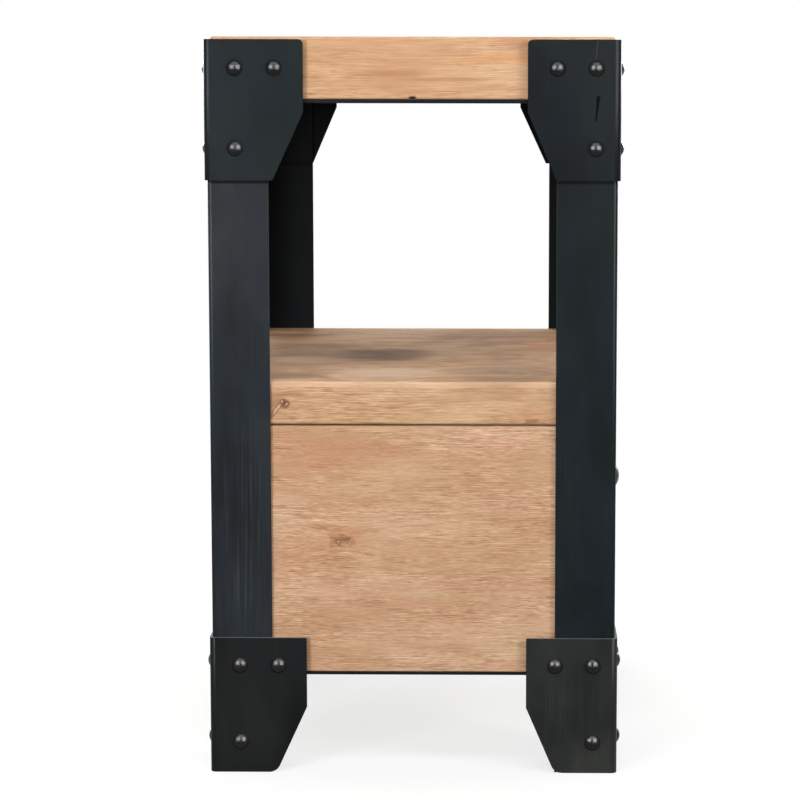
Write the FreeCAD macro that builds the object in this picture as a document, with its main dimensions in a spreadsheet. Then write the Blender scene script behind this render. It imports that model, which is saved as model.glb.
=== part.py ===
import FreeCAD, Part
import os
import re
import Sketcher
from FreeCAD import Placement, Rotation, Vector

# Side table with drawer. Millimetres, +Z up, origin on the floor under the middle of the
# table's bounding box. The drawer opens towards -Y; "left" and "right" are as seen by a
# person who faces the drawer, so left is -X.

# ---------------------------------------------------------------- driving dimensions
SIZES = {
    # overall
    "table_length": 400,        # over the posts, along X
    "table_depth": 302,         # over the posts, along Y
    "table_height": 550,        # floor to tabletop surface
    # corner posts, steel angle
    "post_leg": 45,
    "post_wall": 2.5,
    "post_fold": 3,             # outer radius of the fold
    "steel_ease": 0.5,          # eased edges of the steel
    "top_reveal": 2,            # tabletop stands this much above the posts
    # corner plates, folded sheet with one wide and one narrow leg
    "plate_wall": 2,
    "plate_height": 103,
    "plate_fold": 4.5,          # outer radius of the fold
    "wide_leg": 73,
    "narrow_leg": 68.5,
    "wide_foot_reach": 3,       # wide leg's lower end, beyond the post's leg
    "taper_height": 50,         # height of the slanted part of each leg
    "top_plate_corner": 3.5,    # radius of the free upper corner, upper plates
    "top_plate_heel": 1,        # radius where the slant meets the lower edge, upper plates
    "foot_plate_corner": 0.6,
    "foot_plate_heel": 9,
    # domed fasteners in the plates
    "row_upper": 21,            # below the plate's upper edge
    "row_lower": 79.5,
    "wide_near": 23,            # from the fold's outer face, on the wide leg
    "wide_far": 51.8,
    "narrow_near": 18.4,
    "narrow_far": 46.8,
    "dome_diameter": 12,
    "dome_height": 3.1,
    "dome_shank": 5,
    "dome_screw_length": 15,
    "rivet_head": 9,            # formed head inside the post
    "rivet_head_height": 1.6,
    "hole_play": 0.05,          # radial, every fastener in its hole
    # flat steel rails
    "rail_wall": 2.5,
    "rail_width": 30,
    "rail_screw_spread": 95,    # from the middle of a long rail to its outer screws
    "rail_screw_inset": 62,     # from a short rail's end to its outer screws
    # tabletop, shelf board and cabinet
    "top_thickness": 46,
    "top_round": 2.5,           # rounded edges of tabletop and shelf board
    "notch_width": 5.5,         # small notches in the tabletop's lower edge
    "notch_height": 1.1,
    "notch_depth": 1.5,
    "shelf_height": 296.5,      # floor to shelf surface
    "shelf_thickness": 33,
    "cabinet_base": 76.5,       # floor to the underside of the cabinet's boards
    "side_thickness": 22,
    "back_thickness": 18,
    "bottom_thickness": 15,
    "front_rail_height": 49,    # wooden rail under the drawer front
    "panel_round": 0.8,
    "dowel_diameter": 8,
    "dowel_length": 30,
    "dowel_depth": 12,          # in the side panels' faces
    "dowel_spread": 90,         # shelf dowels, from the middle
    "floor_dowel_gap": 26.5,    # bottom board's dowels, in from the short rails' outer screws
    "back_dowel_low": 55,       # back panel's dowels, above its lower edge
    "back_dowel_high": 145,
    # drawer
    "front_inset": 14,          # drawer front behind the posts' outer face
    "front_thickness": 18,
    "front_side_gap": 2,        # to the posts, each side
    "front_gap": 2.5,           # above and below
    "drawer_board": 12,         # sides and back
    "side_drop": 6,             # side's lower edge above the front's lower edge
    "back_drop": 2,             # back's upper edge below the sides' upper edge
    "groove_lift": 6,           # bottom panel above the sides' lower edge
    "groove_depth": 6,
    "groove_play": 0.2,         # above the bottom panel
    "groove_end_play": 0.5,     # beside the bottom panel
    "bottom_panel": 5,
    "board_round": 1,
    "drawer_dowel": 6,
    "drawer_dowel_depth": 12,
    # what the drawer runs in
    "guide_gap": 1,             # guide to drawer side
    "runner_width": 16,
    "runner_height": 20,
    "runner_setback": 1,        # behind the drawer front
    "runner_end_gap": 5,        # to the back panel
    "kicker_height": 12,
    "kicker_gap": 1.5,          # above the drawer side
    "stop_gap": 0.3,            # drawer back to the rear stops
    "rear_stop_width": 20,
    "rear_stop_depth": 20,
    "rear_stop_height": 35,
    "rear_stop_lift": 10,       # above the drawer's bottom panel
    "rear_stop_spread": 90,
    "pull_stop_width": 24,
    "pull_stop_depth": 12,
    "pull_stop_height": 26,
    "pull_stop_setback": 3,
    # countersunk screws
    "screw_shank": 4,
    "screw_head": 8,
    "screw_head_height": 2,
    "screw_point": 3,
    "rail_screw_length": 15,
    "strip_screw_length": 20,
    "board_screw_length": 30,
    "guide_screw_length": 34,
    "guide_screw_spread": 95,
    "strip_screw_spread": 90,
    # knob
    "knob_diameter": 28,
    "knob_projection": 25,
    "knob_neck": 11,
    "knob_foot": 19,
    "knob_foot_height": 3.5,
    "knob_rim": 13,             # height of the widest ring above the drawer front
    "knob_flare": 3,            # underside of the cap, neck to rim
    "knob_bore_depth": 12,
    "knob_screw": 4,
    "knob_screw_head": 9,
    "knob_screw_head_height": 2.6,
    "knob_screw_reach": 9,      # in the knob
}

# What follows from the driving dimensions, as expressions of them.
DERIVED = {
    "half_length": "table_length / 2",
    "half_depth": "table_depth / 2",
    "inner_x": "table_length / 2 - post_wall",
    "inner_y": "table_depth / 2 - post_wall",
    "fold_x": "table_length / 2 + plate_wall",
    "fold_y": "table_depth / 2 + plate_wall",
    "post_height": "table_height - top_reveal",
    "top_base": "table_height - top_thickness",
    "shelf_base": "shelf_height - shelf_thickness",
    "cabinet_height": "shelf_base - cabinet_base",
    "side_inner": "inner_x - side_thickness",
    "side_middle": "inner_x - side_thickness / 2",
    "back_inner": "inner_y - back_thickness",
    "back_middle": "inner_y - back_thickness / 2",
    "floor_top": "cabinet_base + bottom_thickness",
    "floor_middle": "cabinet_base + bottom_thickness / 2",
    "front_rail_top": "cabinet_base + front_rail_height",
    "front_rail_middle": "cabinet_base + front_rail_height / 2",
    "screw_row": "plate_height - row_upper",
    "front_reach": "half_depth - front_inset + knob_projection",
    "shift_y": "(front_reach - fold_y - dome_height) / 2",
    "front_face": "front_inset - half_depth",
    "front_back": "front_face + front_thickness",
    "front_base": "front_rail_top + front_gap",
    "front_height": "shelf_base - front_gap - front_base",
    "drawer_half": "half_length - post_leg - front_side_gap",
    "drawer_inner": "drawer_half - drawer_board",
    "drawer_tail": "back_inner - rear_stop_depth - stop_gap",
    "drawer_run": "drawer_tail - front_back",
    "side_base": "front_base + side_drop",
    "side_top": "kicker_base - kicker_gap",
    "side_height": "side_top - side_base",
    "panel_base": "side_base + groove_lift",
    "panel_top": "panel_base + bottom_panel",
    "guide_inner": "drawer_half + guide_gap",
    "guide_thickness": "side_inner - guide_inner",
    "runner_middle": "guide_inner - runner_width / 2",
    "runner_front": "front_back + runner_setback",
    "runner_length": "back_inner - runner_end_gap - runner_front",
    "runner_base": "side_base - runner_height",
    "kicker_base": "shelf_base - kicker_height",
    "pull_stop_front": "front_back + pull_stop_setback",
    "knob_level": "front_base + front_height / 2",
}

doc = FreeCAD.newDocument("side_table")
sheet = doc.addObject("Spreadsheet::Sheet", "Sizes")
for row, (alias, size) in enumerate(SIZES.items(), 1):
    sheet.set(f"A{row}", alias)
    sheet.set(f"B{row}", str(size))
    sheet.setAlias(f"B{row}", alias)
doc.recompute()


# ---------------------------------------------------------------- small helpers
def formula(text):
    """The expression with derived names opened up and sizes pointed at the sheet."""
    def opened(match):
        word = match.group(0)
        if word in DERIVED:
            return "(" + formula(DERIVED[word]) + ")"
        return "Sizes." + word
    return re.sub(r"[a-z][a-z_]*", opened, text)


def number(text):
    """The expression's value now."""
    value = sheet.evalExpression(formula(text))
    return float(getattr(value, "Value", value))


def bind(thing, prop, text):
    """Tie a property to an expression of the sizes."""
    thing.setExpression(prop, formula(text))


parts = []          # the sub-parts, in the order they are made
centres = {}        # each sub-part's place in the table, before shift_y


def place(part, centre, turn=0):
    """Give a sub-part its name, its turn about Z and its place in the table."""
    part.Label = part.Name
    part.Placement = Placement(Vector(), Rotation(Vector(0, 0, 1), turn))
    x, y, z = centre
    bind(part, "Placement.Base.x", x)
    bind(part, "Placement.Base.y", f"{y} + shift_y")
    bind(part, "Placement.Base.z", z)
    centres[part.Name] = centre
    parts.append(part)


PLANES = {"x": "YZ_Plane", "y": "XZ_Plane", "z": "XY_Plane"}


def sketch_across(body, axis, level):
    """An empty sketch square to an axis of the body, at a level along that axis."""
    sketch = body.newObject("Sketcher::SketchObject", body.Name + "_sketch")
    plane = next(f for f in body.Origin.OriginFeatures if f.Role == PLANES[axis])
    sketch.AttachmentSupport = [(plane, "")]
    sketch.MapMode = "FlatFace"
    # The XZ plane faces -Y, the other two face their axis.
    bind(sketch, "AttachmentOffset.Base.z", f"-({level})" if axis == "y" else level)
    return sketch


def pin(sketch, geometry, end, point):
    """Hold one point of a sketch at an expression for each of its coordinates."""
    for kind, text in zip(("DistanceX", "DistanceY"), point):
        rule = Sketcher.Constraint(kind, -1, 1, geometry, end, number(text))
        bind(sketch, f"Constraints[{sketch.addConstraint(rule)}]", text)


def outline(sketch, points, bulge=None):
    """A closed outline through the points. bulge is (side, middle): that side is an arc
    through the middle point with its centre on the sketch's vertical axis."""
    spots = [Vector(number(u), number(v), 0) for u, v in points]
    first = sketch.GeometryCount
    following = spots[1:] + spots[:1]
    for i, (start, stop) in enumerate(zip(spots, following)):
        if bulge and bulge[0] == i:
            middle = Vector(number(bulge[1][0]), number(bulge[1][1]), 0)
            sketch.addGeometry(Part.Arc(start, middle, stop))
        else:
            sketch.addGeometry(Part.LineSegment(start, stop))

    def end_at(edge, spot):
        """Which end of an edge is at the spot; an arc may run either way."""
        return 1 if sketch.Geometry[edge].StartPoint.distanceToPoint(spot) < 1e-6 else 2

    for i, (spot, point) in enumerate(zip(spots, points)):
        this = first + i
        last = first + (i - 1) % len(spots)
        sketch.addConstraint(Sketcher.Constraint(
            "Coincident", last, end_at(last, spot), this, end_at(this, spot)))
        pin(sketch, this, end_at(this, spot), point)
    if bulge:
        sketch.addConstraint(Sketcher.Constraint("PointOnObject", first + bulge[0], 3, -2))


def rectangle(sketch, low, high):
    """A rectangle between two opposite corners."""
    outline(sketch, [low, (high[0], low[1]), high, (low[0], high[1])])


def circles(sketch, points, diameter):
    """Circles of one diameter about the points."""
    for point in points:
        centre = Vector(number(point[0]), number(point[1]), 0)
        i = sketch.addGeometry(Part.Circle(centre, Vector(0, 0, 1), number(diameter) / 2))
        pin(sketch, i, 3, point)
        rule = Sketcher.Constraint("Diameter", i, number(diameter))
        bind(sketch, f"Constraints[{sketch.addConstraint(rule)}]", diameter)


def pad(body, sketch, length, flip=False):
    """Raise a body's sketch into a solid, or add it to the body's solid."""
    feature = body.newObject("PartDesign::Pad", body.Name + "_pad")
    feature.Profile = sketch
    feature.Reversed = flip
    bind(feature, "Length", length)
    doc.recompute()


def turned(name, points, bulge=None):
    """A body turned about its Z axis from a half outline (radius, height)."""
    body = doc.addObject("PartDesign::Body", name)
    sketch = sketch_across(body, "y", "0")
    outline(sketch, points, bulge)
    feature = body.newObject("PartDesign::Revolution", name + "_turned")
    feature.Profile = sketch
    feature.ReferenceAxis = (sketch, ["V_Axis"])
    feature.Angle = 360
    doc.recompute()
    return body


def cut(body, heading, level, draw, depth, taper=0):
    """Cut a sketch into a body. heading is the way the cutter moves, such as +x, from a
    level along that axis; draw fills the sketch. Points are in the body's own frame."""
    sketch = sketch_across(body, heading[1], level)
    draw(sketch)
    before = body.Tip.Shape.Volume
    feature = body.newObject("PartDesign::Pocket", body.Name + "_cut")
    feature.Profile = sketch
    feature.Reversed = heading in ("+x", "-y", "+z")
    feature.TaperAngle = taper
    bind(feature, "Length", depth)
    doc.recompute()
    if feature.Shape.Volume > before - 0.1:
        raise RuntimeError(f"{feature.Name} removes nothing")


def local(body, axis, text):
    """A table coordinate as seen from the body's own centre."""
    return f"{text} - ({centres[body.Name]['xyz'.index(axis)]})"


def drill(body, heading, level, points, diameter, depth, head=False):
    """Round holes in a body at table coordinates; head adds the countersink."""
    axis = heading[1]
    u, v = [a for a in "xyz" if a != axis]
    spots = [(local(body, u, a), local(body, v, b)) for a, b in points]
    bore = f"{diameter} + 2 * hole_play"
    face = local(body, axis, level)
    cut(body, heading, face, lambda sketch: circles(sketch, spots, bore), depth)
    if head:
        wide = "screw_head + 2 * hole_play"
        cut(body, heading, face, lambda sketch: circles(sketch, spots, wide),
            "screw_head_height", taper=-45)


def ease(body, radius, wanted=None):
    """Round a body's edges: all of them, or those for which wanted(edge) is true."""
    base = body.Tip
    feature = body.newObject("PartDesign::Fillet", body.Name + "_eased")
    names = [f"Edge{i}" for i, edge in enumerate(base.Shape.Edges, 1)
             if wanted is None or wanted(edge)]
    feature.Base = (base, names)
    bind(feature, "Radius", radius)
    doc.recompute()


def bar(name, size, radius):
    """A board or bar: centred on X and Y, standing on its own Z = 0, edges rounded."""
    body = doc.addObject("PartDesign::Body", name)
    length, depth, height = size
    sketch = sketch_across(body, "z", "0")
    rectangle(sketch, (f"-({length}) / 2", f"-({depth}) / 2"),
              (f"({length}) / 2", f"({depth}) / 2"))
    pad(body, sketch, height)
    ease(body, radius)
    return body


def block(name, size, centre, radius):
    """A bar that is a sub-part, with its lower face's middle at the centre."""
    body = bar(name, size, radius)
    place(body, centre)
    return body


HEADINGS = {"+x": Vector(1, 0, 0), "-x": Vector(-1, 0, 0), "+y": Vector(0, 1, 0),
            "-y": Vector(0, -1, 0), "+z": Vector(0, 0, 1), "-z": Vector(0, 0, -1)}


def group(name, pieces, centre=("0", "0", "0"), turn=0):
    """Separate identical or like solids in one node. Each piece is (body, heading, x, y, z):
    a copy of the body whose -Z end points along the heading."""
    links = []
    for kind, heading, *spot in pieces:
        link = doc.addObject("App::Link", name + "_item")
        link.LinkedObject = kind
        link.LinkTransform = False
        link.Placement = Placement(Vector(), Rotation(Vector(0, 0, -1), HEADINGS[heading]))
        for axis, text in zip("xyz", spot):
            bind(link, f"Placement.Base.{axis}", text)
        links.append(link)
    compound = doc.addObject("Part::Compound", name)
    compound.Links = links
    place(compound, centre, turn)


# ---------------------------------------------------------------- the four corners
# Every corner holds the same post and the same folded plates, turned by a quarter each
# time, so a table face always has a wide leg at one end and a narrow leg at the other.
CORNERS = {
    "front_left": (0, "-", "-"),
    "front_right": (90, "", "-"),
    "rear_right": (180, "", ""),
    "rear_left": (270, "-", ""),
}
LEVELS = {
    "top": ("post_height - plate_height", "top_plate_corner", "top_plate_heel"),
    "foot": ("0", "foot_plate_corner", "foot_plate_heel"),
}


def near(value, target):
    """Whether two lengths are the same to a hundredth of a millimetre."""
    return abs(value - target) < 0.01


def post(name, turn, sign_x, sign_y):
    """Steel angle with its outer corner at the body's own origin."""
    body = doc.addObject("PartDesign::Body", name)
    sketch = sketch_across(body, "z", "0")
    outline(sketch, [("0", "0"), ("post_leg", "0"), ("post_leg", "post_wall"),
                     ("post_wall", "post_wall"), ("post_wall", "post_leg"), ("0", "post_leg")])
    pad(body, sketch, "post_height")

    def at_fold(edge):
        box = edge.BoundBox
        return near(box.XMax, 0) and near(box.YMax, 0)

    def at_tip(edge):
        box = edge.BoundBox
        leg = number("post_leg")
        return box.ZLength > 1 and (near(box.XMin, leg) or near(box.YMin, leg))

    ease(body, "post_fold", at_fold)
    ease(body, "steel_ease", at_tip)
    upper = ["screw_row", "post_height - row_upper"]
    lower = ["plate_height - row_lower", "post_height - row_lower"]
    bore = "dome_shank + 2 * hole_play"
    for heading, leg in (("+y", "wide"), ("+x", "narrow")):
        spots = [(f"{leg}_near - plate_wall", row) for row in upper + lower]
        # A far screw passes through the post only where it meets the leg's edge.
        if number(f"{leg}_far - plate_wall - dome_shank / 2 - hole_play") < number("post_leg"):
            spots += [(f"{leg}_far - plate_wall", row) for row in upper]
        cut(body, heading, "0", lambda sketch: circles(sketch, spots, bore), "post_wall")
    place(body, (f"{sign_x}half_length", f"{sign_y}half_depth", "0"), turn)


def corner_plate(name, level, turn, sign_x, sign_y):
    """Folded sheet with its outer corner at the body's own origin, wide leg along +X."""
    base, corner, heel = LEVELS[level]
    body = doc.addObject("PartDesign::Body", name)
    narrow_foot = "post_leg + plate_wall"
    wide_foot = f"{narrow_foot} + wide_foot_reach"
    for axis, leg, foot, flip in (("y", "wide_leg", wide_foot, True),
                                  ("x", "narrow_leg", narrow_foot, False)):
        sketch = sketch_across(body, axis, "0")
        outline(sketch, [("0", "0"), (foot, "0"), (leg, "taper_height"),
                         (leg, "plate_height"), ("0", "plate_height")])
        pad(body, sketch, "plate_wall", flip)

    def at_outer_fold(edge):
        box = edge.BoundBox
        return near(box.XMax, 0) and near(box.YMax, 0)

    def at_inner_fold(edge):
        box = edge.BoundBox
        wall = number("plate_wall")
        return box.ZLength > 1 and near(box.XMax, wall) and near(box.YMax, wall)

    def across_sheet(edge, height):
        box = edge.BoundBox
        wall = number("plate_wall")
        thick = near(box.XLength, wall) or near(box.YLength, wall)
        free = max(box.XMin, box.YMin) > number("post_leg")
        return thick and free and near(box.ZMin, number(height)) and near(box.ZLength, 0)

    ease(body, "plate_fold", at_outer_fold)
    ease(body, "plate_fold - plate_wall", at_inner_fold)
    ease(body, corner, lambda edge: across_sheet(edge, "plate_height"))
    ease(body, heel, lambda edge: across_sheet(edge, "0"))
    ease(body, "top_plate_heel", lambda edge: across_sheet(edge, "taper_height"))
    bore = "dome_shank + 2 * hole_play"
    for heading, first, second in (("+y", "wide_near", "wide_far"),
                                   ("+x", "narrow_near", "narrow_far")):
        spots = [(first, "screw_row"), (second, "screw_row"),
                 (first, "plate_height - row_lower")]
        cut(body, heading, "0", lambda sketch: circles(sketch, spots, bore), "plate_wall")
    place(body, (f"{sign_x}fold_x", f"{sign_y}fold_y", base), turn)


dome_screw = turned("dome_screw", [
    ("0", "-dome_screw_length"), ("dome_shank / 2", "2 - dome_screw_length"),
    ("dome_shank / 2", "0"), ("dome_diameter / 2", "0"), ("0", "dome_height")],
    bulge=(3, ("dome_diameter * 0.3", "dome_height * 0.66")))
dome_rivet = turned("dome_rivet", [
    ("0", "-plate_wall - post_wall - rivet_head_height"),
    ("rivet_head / 2 - 1", "-plate_wall - post_wall - rivet_head_height"),
    ("rivet_head / 2", "-plate_wall - post_wall"), ("dome_shank / 2", "-plate_wall - post_wall"),
    ("dome_shank / 2", "0"), ("dome_diameter / 2", "0"), ("0", "dome_height")],
    bulge=(5, ("dome_diameter * 0.3", "dome_height * 0.66")))


def corner_fasteners(name, level, turn, sign_x, sign_y):
    """Four domed screws into the wood and two domed rivets through post and plate."""
    lower = "plate_height - row_lower"
    pieces = [
        (dome_screw, "+y", "wide_near", "0", "screw_row"),
        (dome_screw, "+y", "wide_far", "0", "screw_row"),
        (dome_rivet, "+y", "wide_near", "0", lower),
        (dome_screw, "+x", "0", "narrow_near", "screw_row"),
        (dome_screw, "+x", "0", "narrow_far", "screw_row"),
        (dome_rivet, "+x", "0", "narrow_near", lower),
    ]
    group(name, pieces, (f"{sign_x}fold_x", f"{sign_y}fold_y", LEVELS[level][0]), turn)


for corner_name, (turn, sign_x, sign_y) in CORNERS.items():
    post(f"post_{corner_name}", turn, sign_x, sign_y)
    for level in LEVELS:
        corner_plate(f"{level}_plate_{corner_name}", level, turn, sign_x, sign_y)
        corner_fasteners(f"{level}_fasteners_{corner_name}", level, turn, sign_x, sign_y)


# ---------------------------------------------------------------- flat steel rails
def flat_screw(name, length):
    """Countersunk screw, its head flush with the body's own Z = 0."""
    return turned(name, [
        ("0", f"-{length}"), ("screw_shank / 2", f"screw_point - {length}"),
        ("screw_shank / 2", "-screw_head_height"), ("screw_head / 2", "0"), ("0", "0")])


rail_screw = flat_screw("rail_screw", "rail_screw_length")
strip_screw = flat_screw("strip_screw", "strip_screw_length")
board_screw = flat_screw("board_screw", "board_screw_length")
guide_screw = flat_screw("guide_screw", "guide_screw_length")

LONG_SCREWS = ["-rail_screw_spread", "0", "rail_screw_spread"]
SHORT_SCREWS = ["rail_screw_inset - inner_y", "0", "inner_y - rail_screw_inset"]
# Where the screw lines of each frame run, from the middle of the table: the tabletop's
# down the middle of its rails, the cabinet's up into the middle of the boards' edges.
SCREW_LINES = {
    "top": ("inner_x - rail_width / 2", "inner_y - rail_width / 2"),
    "cabinet": ("side_middle", "back_middle"),
}


def rail_spots(level, side):
    """The screw places (x, y) along one rail of a frame."""
    line_x, line_y = SCREW_LINES[level]
    return {
        "left": [(f"-({line_x})", y) for y in SHORT_SCREWS],
        "right": [(line_x, y) for y in SHORT_SCREWS],
        "front": [(x, f"-({line_y})") for x in LONG_SCREWS],
        "rear": [(x, line_y) for x in LONG_SCREWS],
    }[side]


def rail_frame(level, base):
    """Four flat rails between the posts, drilled for the screws that hold the wood."""
    middle_x = "inner_x - rail_width / 2"
    middle_y = "inner_y - rail_width / 2"
    short_size = ("rail_width", "2 * inner_y", "rail_wall")
    long_size = ("2 * inner_x - 2 * rail_width", "rail_width", "rail_wall")
    rails = {
        "left": (short_size, (f"-({middle_x})", "0", base)),
        "right": (short_size, (middle_x, "0", base)),
        "front": (long_size, ("0", f"-({middle_y})", base)),
        "rear": (long_size, ("0", middle_y, base)),
    }
    screws = []
    for side, (size, centre) in rails.items():
        rail = block(f"{level}_rail_{side}", size, centre, "steel_ease")
        spots = rail_spots(level, side)
        drill(rail, "+z", base, spots, "screw_shank", "rail_wall", head=True)
        screws += [(rail_screw, "+z", x, y, base) for x, y in spots]
    group(f"{level}_rail_screws", screws)


rail_frame("top", "top_base - rail_wall")
rail_frame("cabinet", "cabinet_base - rail_wall")

# ---------------------------------------------------------------- wooden boards
DOME_BITE = "dome_screw_length - plate_wall - post_wall"
RAIL_BITE = "rail_screw_length - rail_wall"
HALF_DOWEL = "dowel_length / 2"
END_DOWEL = "dowel_length - dowel_depth"

# The domed screws' places along each face of the table, near and far at either end. A
# side face has the narrow leg at one end and the wide leg at the other.
LEFT_ROW = ["narrow_near - fold_y", "narrow_far - fold_y",
            "fold_y - wide_near", "fold_y - wide_far"]
RIGHT_ROW = ["wide_near - fold_y", "wide_far - fold_y",
             "fold_y - narrow_near", "fold_y - narrow_far"]
FRONT_ROW = ["wide_near - fold_x", "wide_far - fold_x",
             "fold_x - narrow_near", "fold_x - narrow_far"]
REAR_ROW = ["narrow_near - fold_x", "narrow_far - fold_x",
            "fold_x - wide_near", "fold_x - wide_far"]

# Dowels and inner screws, in table coordinates.
SHELF_DOWELS = ["-dowel_spread", "dowel_spread"]
FLOOR_DOWELS = [f"-({SHORT_SCREWS[2]} - floor_dowel_gap)",
                f"{SHORT_SCREWS[2]} - floor_dowel_gap"]
BACK_LEVELS = ["cabinet_base + back_dowel_low", "cabinet_base + back_dowel_high"]
side_dowels = ([(y, "floor_middle") for y in FLOOR_DOWELS]
               + [("back_middle", z) for z in BACK_LEVELS]
               + [("-(back_middle)", "front_rail_middle")])
strip_middle = "runner_front + runner_length / 2"
STRIP_ROW = [f"{strip_middle} - strip_screw_spread", strip_middle,
             f"{strip_middle} + strip_screw_spread"]
guide_screws = [(y, "(floor_top + shelf_base) / 2")
                for y in ("-guide_screw_spread", "0", "guide_screw_spread")]
pull_stop_middle = "pull_stop_front + pull_stop_depth / 2"


def tabletop():
    board = block("tabletop", ("2 * inner_x", "2 * inner_y", "top_thickness"),
                  ("0", "0", "top_base"), "top_round")
    level = "post_height - row_upper"
    for heading, face, row in (("+x", "-(inner_x)", LEFT_ROW), ("-x", "inner_x", RIGHT_ROW),
                               ("+y", "-(inner_y)", FRONT_ROW), ("-y", "inner_y", REAR_ROW)):
        drill(board, heading, face, [(spot, level) for spot in row], "dome_shank", DOME_BITE)
    for side in ("left", "right", "front", "rear"):
        drill(board, "+z", "top_base", rail_spots("top", side), "screw_shank", RAIL_BITE)
    low = ("-notch_width / 2", "0")
    high = ("notch_width / 2", "top_round + notch_height")
    for heading, face in (("+x", "-(inner_x)"), ("-x", "inner_x")):
        cut(board, heading, face, lambda sketch: rectangle(sketch, low, high), "notch_depth")


def shelf_board():
    board = block("shelf_board", ("2 * inner_x", "2 * inner_y", "shelf_thickness"),
                  ("0", "0", "shelf_base"), "top_round")
    dowels = [(f"{sign}(side_middle)", y) for sign in ("-", "") for y in SHELF_DOWELS]
    dowels += [(x, "back_middle") for x in SHELF_DOWELS]
    drill(board, "+z", "shelf_base", dowels, "dowel_diameter", HALF_DOWEL)
    strips = [(f"{sign}(runner_middle)", y) for sign in ("-", "") for y in STRIP_ROW]
    drill(board, "+z", "shelf_base", strips, "screw_shank",
          "strip_screw_length - kicker_height")
    drill(board, "+z", "shelf_base", [("0", pull_stop_middle)], "screw_shank",
          "guide_screw_length - pull_stop_height")


def side_panel(side, sign, heading, back_heading, row, end):
    """Cabinet side. row is its domed screws, end picks those in its two ends' grain."""
    middle = f"{sign}(side_middle)"
    panel = block(f"side_panel_{side}", ("side_thickness", "2 * inner_y", "cabinet_height"),
                  (middle, "0", "cabinet_base"), "panel_round")
    outer, inner = f"{sign}(inner_x)", f"{sign}(side_inner)"
    domes = [(y, "screw_row") for y in row]
    drill(panel, heading, outer, domes, "dome_shank", DOME_BITE)
    drill(panel, "+y", "-(inner_y)", [(FRONT_ROW[end], "screw_row")], "dome_shank", DOME_BITE)
    drill(panel, "-y", "inner_y", [(REAR_ROW[end], "screw_row")], "dome_shank", DOME_BITE)
    drill(panel, "+z", "cabinet_base", rail_spots("cabinet", side), "screw_shank", RAIL_BITE)
    dowels = [(middle, y) for y in SHELF_DOWELS]
    drill(panel, "-z", "shelf_base", dowels, "dowel_diameter", HALF_DOWEL)
    drill(panel, back_heading, inner, side_dowels, "dowel_diameter", "dowel_depth")
    drill(panel, back_heading, inner, guide_screws, "screw_shank",
          "guide_screw_length - guide_thickness")


def domes_between(row):
    """Those of a row of domed screws that reach in between the side panels."""
    spots = []
    for spot in row:
        inner_edge = abs(number(spot)) - number("dome_shank / 2 + hole_play")
        if inner_edge < number("side_inner"):
            spots.append((spot, "screw_row"))
    return spots


def drill_ends(board, spots, diameter, depth, half):
    """The same holes in a board's left and right ends."""
    drill(board, "+x", f"-({half})", spots, diameter, depth)
    drill(board, "-x", half, spots, diameter, depth)


def cross_boards():
    """Back panel, bottom board and front rail, all between the side panels."""
    back = block("back_panel", ("2 * side_inner", "back_thickness", "cabinet_height"),
                 ("0", "back_middle", "cabinet_base"), "panel_round")
    drill(back, "-y", "inner_y", domes_between(REAR_ROW), "dome_shank", DOME_BITE)
    drill(back, "+z", "cabinet_base", rail_spots("cabinet", "rear"), "screw_shank", RAIL_BITE)
    dowels = [(x, "back_middle") for x in SHELF_DOWELS]
    drill(back, "-z", "shelf_base", dowels, "dowel_diameter", HALF_DOWEL)
    levels = [("back_middle", z) for z in BACK_LEVELS]
    drill_ends(back, levels, "dowel_diameter", END_DOWEL, "side_inner")

    floor = block("bottom_board", ("2 * side_inner", "2 * back_inner", "bottom_thickness"),
                  ("0", "0", "cabinet_base"), "panel_round")
    spots = [(y, "floor_middle") for y in FLOOR_DOWELS]
    drill_ends(floor, spots, "dowel_diameter", END_DOWEL, "side_inner")

    rail = block("front_rail", ("2 * side_inner", "back_thickness", "front_rail_height"),
                 ("0", "-(back_middle)", "cabinet_base"), "panel_round")
    drill(rail, "+y", "-(inner_y)", domes_between(FRONT_ROW), "dome_shank", DOME_BITE)
    drill(rail, "+z", "cabinet_base", rail_spots("cabinet", "front"), "screw_shank",
          RAIL_BITE)
    spots = [("-(back_middle)", "front_rail_middle")]
    drill_ends(rail, spots, "dowel_diameter", END_DOWEL, "side_inner")


def cabinet_dowels():
    dowel = turned("dowel", [
        ("0", "-dowel_length"), ("dowel_diameter / 2 - 1", "-dowel_length"),
        ("dowel_diameter / 2", "1 - dowel_length"), ("dowel_diameter / 2", "-1"),
        ("dowel_diameter / 2 - 1", "0"), ("0", "0")])
    top = "shelf_base + dowel_length / 2"
    end = "side_inner + dowel_depth"
    pieces = [(dowel, "-z", x, "back_middle", top) for x in SHELF_DOWELS]
    for sign, heading in (("-", "+x"), ("", "-x")):
        pieces += [(dowel, "-z", f"{sign}(side_middle)", y, top) for y in SHELF_DOWELS]
        pieces += [(dowel, heading, f"{sign}({end})", y, z) for y, z in side_dowels]
    group("cabinet_dowels", pieces)


tabletop()
shelf_board()
side_panel("left", "-", "+x", "-x", LEFT_ROW, 0)
side_panel("right", "", "-x", "+x", RIGHT_ROW, 2)
cross_boards()
cabinet_dowels()


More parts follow.
